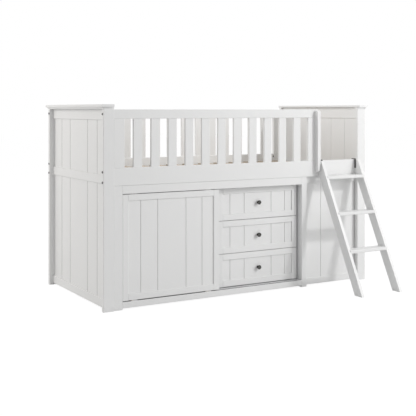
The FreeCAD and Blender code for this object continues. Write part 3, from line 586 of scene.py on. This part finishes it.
# %% Finish: drawer board
DRAWER_GRAIN = {"Ring Width": 0.009, "Waver": 0.01}
DRAWER_SWELLS = 700.0
DRAWER_PALE = (0.71, 0.695, 0.66, 1)
DRAWER_LINE = (0.62, 0.595, 0.55, 1)
DRAWER_ROUGH = (0.44, 0.56)
DRAWER_RISE = 0.00004


def drawer_board():
    """Make the drawers' pale board, printed with a quiet grain."""
    material, tree, shader = start_finish("drawer_board")
    grain = place_group(tree, sawn_grain, DRAWER_GRAIN)
    skin = place_group(tree, film, {"Swells": DRAWER_SWELLS})
    lines = calc(tree, "MULTIPLY", grain["Rings"], grain["Fibre"])
    colour_surface(tree, shader, lines, DRAWER_PALE, DRAWER_LINE)
    gloss_surface(tree, shader, skin["Mottle"], NOISE_SPAN, DRAWER_ROUGH)
    raise_surface(tree, shader, skin["Peel"], DRAWER_RISE)
    return material


finishes["drawer_board"] = drawer_board()
print("finish: drawer board")

# %% [markdown]
# ## Polished and plated metal
#
# The knobs are dark polished nickel, and the drawer runners and small screws are bright zinc. Both
# are bare metal to the eye, so one function makes them: the colour is broken by specks, and the
# gloss by streaks and by the marks of hands.

# %% Finishes: knobs and zinc
METAL_PATCHES = 40.0
SHEEN_SPAN = (0.3, 1.5)
KNOB_BRIGHT = (0.09, 0.088, 0.085, 1)
KNOB_DULL = (0.06, 0.059, 0.057, 1)
ZINC_BRIGHT = (0.62, 0.63, 0.64, 1)
ZINC_DULL = (0.46, 0.47, 0.49, 1)


def metal(name, bright, dull, rough, specked, pitch):
    """Make a bare or plated metal, with its tone and gloss broken by streaks and specks."""
    material, tree, shader = start_finish(name)
    shader.inputs["Metallic"].default_value = 1.0
    lines = place_group(tree, streaks, {"Pitch": pitch})
    marks = place_group(tree, handling, {"Patches": METAL_PATCHES})
    blotch = calc(tree, "MULTIPLY", lines["Speck"], specked)
    colour_surface(tree, shader, blotch, bright, dull)
    sheen = calc(tree, "ADD", marks["Smudge"], lines["Streak"])
    gloss_surface(tree, shader, sheen, SHEEN_SPAN, rough)
    return material


finishes["knob_metal"] = metal(
    "knob_metal", KNOB_BRIGHT, KNOB_DULL, rough=(0.08, 0.16), specked=0.6, pitch=600.0
)
finishes["bright_steel"] = metal(
    "bright_steel", ZINC_BRIGHT, ZINC_DULL, rough=(0.28, 0.42), specked=1.0, pitch=450.0
)
print("finishes: knob metal, bright steel")

# %% [markdown]
# ## Blackened steel
#
# Bolts, nuts and the ladder's hooks are blackened. The skin of oxide isn't metallic to the eye, so
# this finish is a dark surface with a fine speckle, worn a little paler where it is handled.

# %% Finish: dark steel
STEEL_PITCH = 700.0
STEEL_PATCHES = 60.0
BLACK_STEEL = (0.1, 0.1, 0.102, 1)
BLACK_WORN = (0.16, 0.157, 0.153, 1)
SPECK_SPAN = (0.2, 0.8)
STEEL_ROUGH = (0.36, 0.5)
STEEL_RISE = 0.00006


def dark_steel():
    """Make blackened steel: a dark oxide skin, a little worn where it is handled."""
    material, tree, shader = start_finish("dark_steel")
    lines = place_group(tree, streaks, {"Pitch": STEEL_PITCH})
    marks = place_group(tree, handling, {"Patches": STEEL_PATCHES})
    colour_surface(tree, shader, marks["Smudge"], BLACK_STEEL, BLACK_WORN)
    gloss_surface(tree, shader, lines["Speck"], SPECK_SPAN, STEEL_ROUGH)
    raise_surface(tree, shader, lines["Speck"], STEEL_RISE)
    return material


finishes["dark_steel"] = dark_steel()
print("finish: dark steel")

# %% [markdown]
# ## Aluminium tracks
#
# The door runs in tracks of grey anodised aluminium. The coating dulls the metal, so it is not
# fully metallic, and the door rubs it brighter in lines along its length.

# %% Finish: track metal
TRACK_SWELLS = 1200.0
TRACK_PITCH = 300.0
TRACK_GREY = (0.34, 0.34, 0.35, 1)
TRACK_RUBBED = (0.46, 0.46, 0.47, 1)
TRACK_METALLIC = 0.8
RUBBED_SPAN = (0.5, 0.75)
TRACK_ROUGH = (0.38, 0.5)
TRACK_RISE = 0.00006


def track_metal():
    """Make grey anodised aluminium, rubbed brighter along its length by the door."""
    material, tree, shader = start_finish("track_metal")
    shader.inputs["Metallic"].default_value = TRACK_METALLIC
    skin = place_group(tree, film, {"Swells": TRACK_SWELLS})
    lines = place_group(tree, streaks, {"Pitch": TRACK_PITCH})
    rubbed = remap(tree, lines["Streak"], RUBBED_SPAN, WHOLE)
    colour_surface(tree, shader, rubbed, TRACK_GREY, TRACK_RUBBED)
    gloss_surface(tree, shader, skin["Mottle"], NOISE_SPAN, TRACK_ROUGH)
    raise_surface(tree, shader, skin["Peel"], TRACK_RISE)
    return material


finishes["track_metal"] = track_metal()
print("finish: track metal")

# %% [markdown]
# ## Nylon glides
#
# The door's glides are natural nylon, waxy and a little see-through. A plain pale colour would look
# like paint, so some light is let a few millimetres into the surface.

# %% Finish: nylon
NYLON_SWELLS = 500.0
NYLON_PALE = (0.78, 0.775, 0.74, 1)
NYLON_DEEP = (0.72, 0.71, 0.67, 1)
NYLON_LIT_SHARE = 0.15
NYLON_LIT_DEPTH = 0.004
NYLON_ROUGH = (0.38, 0.5)
NYLON_RISE = 0.00003


def nylon():
    """Make natural nylon."""
    material, tree, shader = start_finish("nylon")
    shader.inputs["Subsurface Weight"].default_value = NYLON_LIT_SHARE
    shader.inputs["Subsurface Scale"].default_value = NYLON_LIT_DEPTH
    skin = place_group(tree, film, {"Swells": NYLON_SWELLS})
    colour_surface(tree, shader, skin["Mottle"], NYLON_PALE, NYLON_DEEP)
    gloss_surface(tree, shader, skin["Peel"], SPECK_SPAN, NYLON_ROUGH)
    raise_surface(tree, shader, skin["Peel"], NYLON_RISE)
    return material


finishes["nylon"] = nylon()
print("finishes:", ", ".join(sorted(finishes)))

# %% [markdown]
# ## Dress the CAD nodes
#
# The record already says which finish each node takes, so we only swap the plain imported materials
# for ours, slot by slot. No shape is touched.

# %% Give every node its finish
for name, piece in nodes.items():
    piece.data.materials.clear()
    piece.data.materials.append(finishes[slot_of[name]])
print("dressed:", len(nodes), "nodes")

# %% [markdown]
# ## Screws, made once and set many times
#
# Small fasteners are left to this script: the pan heads that hold the hooks to the ladder and the
# knobs to the drawers, countersunk heads in the slats and ledgers, and the pins round the cabinet's
# back. A head is a stack of rings round an axis. Because the cross-shaped recess is a ring too, only
# with a radius that changes round the turn, the same few lines make any head from its profile,
# which is written as shares of its radius and height.

# %% Build a screw head from rings
MM = 0.001
SIDES = 40
CROSS_ARM = 0.28
NEVER_ZERO = 1e-9


def plain_round(angle):
    """The outline of a round, as a share of its radius."""
    return 1.0


def cross_recess(angle):
    """The outline of a cross, as a share of its arm's length."""
    c = abs(math.cos(angle)) + NEVER_ZERO
    s = abs(math.sin(angle)) + NEVER_ZERO
    return max(min(1 / c, CROSS_ARM / s), min(CROSS_ARM / c, 1 / s))


def head_mesh(rings):
    """Turn rings of (outline, radius, height) into points and faces, about +Z."""
    points = []
    for outline, radius, height in rings:
        for side in range(SIDES):
            angle = 2 * math.pi * side / SIDES
            reach = radius * outline(angle)
            points.append(Vector((reach * math.cos(angle), reach * math.sin(angle), height)))
    faces = []
    for ring in range(len(rings) - 1):
        for side in range(SIDES):
            after = (side + 1) % SIDES
            a = ring * SIDES + side
            b = ring * SIDES + after
            faces.append((a, b, b + SIDES, a + SIDES))
    faces.append(tuple(reversed(range(SIDES))))
    last = (len(rings) - 1) * SIDES
    faces.append(tuple(range(last, last + SIDES)))
    return points, faces


def screw_head(radius, height, profile, arm, foot):
    """Build a head from its profile, with a cross recess sunk into its top."""
    rings = [(plain_round, wide * radius, up * height) for wide, up in profile]
    foot_wide, foot_up = foot
    rings.append((cross_recess, arm * radius, height))
    rings.append((cross_recess, foot_wide * (arm * radius), foot_up * height))
    return head_mesh(rings)


PAN_HEAD = {
    "profile": ((1.0, 0.0), (1.0, 0.45), (0.93, 0.75), (0.8, 0.94), (0.68, 1.0)),
    "arm": 0.62,
    "foot": (0.8, 0.35),
}
SUNK_HEAD = {
    "profile": ((1.0, 0.0), (1.0, 0.5), (0.94, 1.0), (0.66, 1.0)),
    "arm": 0.58,
    "foot": (0.7, 0.2),
}
SLAT_SCREW = screw_head(radius=4 * MM, height=0.5 * MM, **SUNK_HEAD)
HOOK_SCREW = screw_head(radius=4.5 * MM, height=2.6 * MM, **PAN_HEAD)
KNOB_SCREW = screw_head(radius=4.2 * MM, height=2.4 * MM, **PAN_HEAD)
BACK_PIN = screw_head(radius=2.2 * MM, height=0.9 * MM, **PAN_HEAD)
print("screw heads:", len(SLAT_SCREW[0]), "points when sunk,", len(HOOK_SCREW[0]), "when domed")

# %% [markdown]
# ## Where the screws go
#
# Every screw is placed from the boxes of the pieces that it joins, so it stays right if the CAD
# changes. The screws of one row are one mesh and ride together, and each is turned a little
# further than the last, since no one drives screws to the same angle. The first row goes through
# the slats: each slat gets a screw over the middle of each ledger.

# %% Set the slat screws
SPIN_STEP = 1.1
TO_RIGHT = Vector((1, 0, 0))
TO_REAR = Vector((0, 1, 0))


def set_screws(name, head, spots, out, body, slot):
    """Set copies of a head on a surface, at spots, pointing one way out of it."""
    head_points, head_faces = head
    turn = UPRIGHT.rotation_difference(out).to_matrix()
    points = []
    faces = []
    for number, spot in enumerate(spots):
        spin = Matrix.Rotation(number * SPIN_STEP, 3, "Z")
        start = len(points)
        points += [Vector(spot) + turn @ (spin @ p) for p in head_points]
        faces += [tuple(start + i for i in face) for face in head_faces]
    mesh = bpy.data.meshes.new(name)
    mesh.from_pydata(points, [], faces)
    mesh.update()
    mesh.materials.append(finishes[slot])
    piece = bpy.data.objects.new(name, mesh)
    bpy.context.scene.collection.objects.link(piece)
    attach(piece, body)
    print("set:", len(spots), name)


ledgers = solid_boxes("bed_ledgers")
slat_spots = []
for low, high in solid_boxes("bed_slats"):
    for ledger_low, ledger_high in ledgers:
        slat_spots.append(((low.x + high.x) / 2, (ledger_low.y + ledger_high.y) / 2, high.z))
set_screws("slat_screws", SLAT_SCREW, slat_spots, UPRIGHT, "bed", "bright_steel")

# %% [markdown]
# The ledgers are screwed to the side rails from the inside of the bed, in an even row that stops
# short of each end so that the wood doesn't split. The places could be typed in one by one, but a
# helper that spaces them between two ends keeps the row even at any length.

# %% Set the ledger screws
LEDGER_SCREWS = 7
LEDGER_MARGIN = 60 * MM


def spaced(first, last, count):
    """Give evenly spaced values between two ends, both included."""
    return [first + (last - first) * i / (count - 1) for i in range(count)]


for where, (low, high) in zip(("front", "rear"), sorted(ledgers, key=lambda box: box[0].y)):
    inner = high.y if where == "front" else low.y
    out = TO_REAR if where == "front" else -TO_REAR
    places = spaced(low.x + LEDGER_MARGIN, high.x - LEDGER_MARGIN, LEDGER_SCREWS)
    spots = [(x, inner, (low.z + high.z) / 2) for x in places]
    set_screws(f"{where}_ledger_screws", SLAT_SCREW, spots, out, "bed", "bright_steel")

# %% [markdown]
# Each hook is held by two screws down its leg, driven from between the stringers. Their places are
# shares of the hook's box, because the leg takes up only the front part of it. They ride on the
# ladder, so they lift off with it.

# %% Set the hook screws
HOOK_SCREW_SHARES = (0.22, 0.6)
HOOK_LEG_SHARE = 0.163
for side, (low, high) in zip(("left", "right"), solid_boxes("ladder_hooks")):
    face = high.x if side == "left" else low.x
    out = TO_RIGHT if side == "left" else -TO_RIGHT
    y = low.y + HOOK_LEG_SHARE * (high.y - low.y)
    spots = [(face, y, low.z + share * (high.z - low.z)) for share in HOOK_SCREW_SHARES]
    set_screws(f"{side}_hook_screws", HOOK_SCREW, spots, out, "ladder", "dark_steel")

# %% [markdown]
# A knob's screw goes in from the back, through the inner front of the drawer box. That wall is the
# one at the front of the box that is wider than it is thick, and the screw sits behind the knob's
# middle.

# %% Set the knob screws
for name in ("bottom", "middle", "top"):
    walls = solid_boxes(f"{name}_drawer_box")
    front = min(low.y for low, high in walls)
    inner_front = next(
        (low, high) for low, high in walls
        if abs(low.y - front) < MM and high.x - low.x > high.y - low.y
    )
    knob_low, knob_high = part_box(f"{name}_drawer_knob")
    middle = (knob_low + knob_high) / 2
    spot = (middle.x, inner_front[1].y, middle.z)
    set_screws(f"{name}_knob_screw", KNOB_SCREW, [spot], TO_REAR, f"{name}_drawer", "bright_steel")

# %% [markdown]
# The cabinet's back is a thin board, pinned all round its edge and once more down the divider. The
# top and bottom rows come first, and the upright ones then leave out their ends, so that no corner
# gets two pins.

# %% Set the pins of the cabinet's back
PIN_MARGIN = 9 * MM
PIN_COLUMNS = 13
PIN_ROWS = 7
low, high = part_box("cabinet_back")
across_places = spaced(low.x + PIN_MARGIN, high.x - PIN_MARGIN, PIN_COLUMNS)
up_places = spaced(low.z + PIN_MARGIN, high.z - PIN_MARGIN, PIN_ROWS)
pins = [(x, high.y, z) for x in across_places for z in (up_places[0], up_places[-1])]
pins += [(x, high.y, z) for x in (across_places[0], across_places[-1]) for z in up_places[1:-1]]
divider_low, divider_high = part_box("cabinet_divider")
pins += [((divider_low.x + divider_high.x) / 2, high.y, z) for z in up_places[1:-1]]
set_screws("back_pins", BACK_PIN, pins, TO_REAR, "bed", "bright_steel")

# %% [markdown]
# ## A white studio
#
# The bed stands on a white ground that runs into a white surround. To the camera, and to anything
# shiny, both are plain white, while the light that they send onto the bed is set apart with the
# Light Path node. The floor keeps a quarter of its true shading, so that the bed still casts a
# faint shadow and doesn't float.

# %% Floor
FLOOR_REACH = 30.0
FLOOR_CORNERS = ((-1, -1), (1, -1), (1, 1), (-1, 1))
FLOOR_WHITE = (0.7, 0.7, 0.7, 1)
FLOOR_GLOW_SHARE = 0.75
FLOOR_GLOW = 1.21


def seen_directly(tree):
    """One where a ray comes straight from the camera, from a mirror or through glass."""
    path = tree.nodes.new("ShaderNodeLightPath")
    seen = calc(tree, "MAXIMUM", path.outputs["Is Camera Ray"], path.outputs["Is Glossy Ray"])
    return calc(tree, "MAXIMUM", seen, path.outputs["Is Transmission Ray"])


floor_points = [(x * FLOOR_REACH, y * FLOOR_REACH, 0) for x, y in FLOOR_CORNERS]
floor_mesh = bpy.data.meshes.new("floor")
floor_mesh.from_pydata(floor_points, [], [(0, 1, 2, 3)])
floor = bpy.data.objects.new("floor", floor_mesh)
bpy.context.scene.collection.objects.link(floor)

ground = bpy.data.materials.new("studio_floor")
ground.use_nodes = True
tree = ground.node_tree
tree.nodes.clear()
matt = add(tree, "ShaderNodeBsdfDiffuse", {}, {"Color": FLOOR_WHITE})
glow = add(tree, "ShaderNodeEmission", {}, {"Strength": FLOOR_GLOW})
share = calc(tree, "MULTIPLY", seen_directly(tree), FLOOR_GLOW_SHARE)
mix = add(tree, "ShaderNodeMixShader", {}, {0: share, 1: matt.outputs[0], 2: glow.outputs[0]})
add(tree, "ShaderNodeOutputMaterial", {}, {"Surface": mix.outputs[0]})
floor_mesh.materials.append(ground)
print("floor:", 2 * FLOOR_REACH, "m wide")

# %% [markdown]
# The surround works the same way: plain white where it is seen, and a softer ambient light for the
# bed. One strength for both would be simpler, but then the bed would be lit so evenly that the lamps
# could no longer model its boards.

# %% Surround
PURE_WHITE = (1, 1, 1, 1)
AMBIENT = 0.52
SEEN_WHITE = 1.0

world = bpy.data.worlds.new("studio")
bpy.context.scene.world = world
world.use_nodes = True
tree = world.node_tree
tree.nodes.clear()
soft = add(tree, "ShaderNodeBackground", {}, {"Color": PURE_WHITE, "Strength": AMBIENT})
white = add(tree, "ShaderNodeBackground", {}, {"Color": PURE_WHITE, "Strength": SEEN_WHITE})
mix_inputs = {0: seen_directly(tree), 1: soft.outputs[0], 2: white.outputs[0]}
mix = add(tree, "ShaderNodeMixShader", {}, mix_inputs)
add(tree, "ShaderNodeOutputWorld", {}, {"Surface": mix.outputs[0]})
print("surround: ambient light of", AMBIENT)

# %% [markdown]
# ## Four lamps
#
# The shadow that the grab batten throws on the guard beside it tells where the key light stood: to
# the right of the front, above the bed, and rather small, since that shadow is crisp. The ladder's
# shadows on the panel behind it are faint, though, so a broad soft lamp stands below the key and
# fills them. A faintly warm lamp from the left and behind lifts the panelled end, brighter towards
# its rear post, and a weak one overhead reaches the inside of the far end.

# %% Lamps
WHITE = (1.0, 1.0, 1.0)
WARM = (1.0, 0.97, 0.93)
KEY_WAY = Vector((0.5, -0.69, 0.53))
KEY_AIM = Vector((0.5, -0.25, 0.7))
KEY_DISTANCE = 6.0
KEY_SPOT = KEY_AIM + KEY_WAY * KEY_DISTANCE


def lamp(name, spot, aim, wide, watts, tint=WHITE):
    """Add a square area light that looks at a point."""
    data = bpy.data.lights.new(name, "AREA")
    data.shape = "SQUARE"
    data.size = wide
    data.energy = watts
    data.color = tint
    made = bpy.data.objects.new(name, data)
    made.location = spot
    made.rotation_euler = (Vector(aim) - Vector(spot)).to_track_quat("-Z", "Y").to_euler()
    bpy.context.scene.collection.objects.link(made)
    print("lamp:", name, "of", watts, "W")


lamp("key_lamp", spot=KEY_SPOT, aim=KEY_AIM, wide=0.5, watts=104)
lamp("soft_lamp", spot=(3.6, -4.2, 2.0), aim=(0.7, -0.25, 0.7), wide=3.0, watts=66)
lamp("side_lamp", spot=(-3.7, 2.5, 2.2), aim=(-1.0, 0.6, 0.8), wide=1.8, watts=58, tint=WARM)
lamp("top_lamp", spot=(-0.3, 0.25, 2.4), aim=(1.0, 0.25, 1.0), wide=0.8, watts=9)

# %% [markdown]
# ## The camera
#
# All upright edges stay upright in the picture, which means that the camera was level. The horizon
# then lies at the camera's own height, well above the middle of the picture, and only a shift of
# the lens puts it there without leaning the posts.

# %% Camera
CAMERA_SPOT = (-3.062, -5.037, 1.229)
CAMERA_LEVEL = 90
CAMERA_TURN = -30.13
PICTURE = 416
FOCAL_PIXELS = 850
HORIZON_PIXEL = 110
SENSOR = 36.0

camera_data = bpy.data.cameras.new("camera")
camera_data.sensor_width = SENSOR
camera_data.lens = SENSOR * FOCAL_PIXELS / PICTURE
camera_data.shift_y = (HORIZON_PIXEL - PICTURE / 2) / PICTURE
camera = bpy.data.objects.new("camera", camera_data)
camera.location = CAMERA_SPOT
camera.rotation_euler = (math.radians(CAMERA_LEVEL), 0, math.radians(CAMERA_TURN))
bpy.context.scene.collection.objects.link(camera)
bpy.context.scene.camera = camera
bpy.context.scene.view_settings.view_transform = "Standard"
print("camera lens:", round(camera_data.lens, 2), "mm")
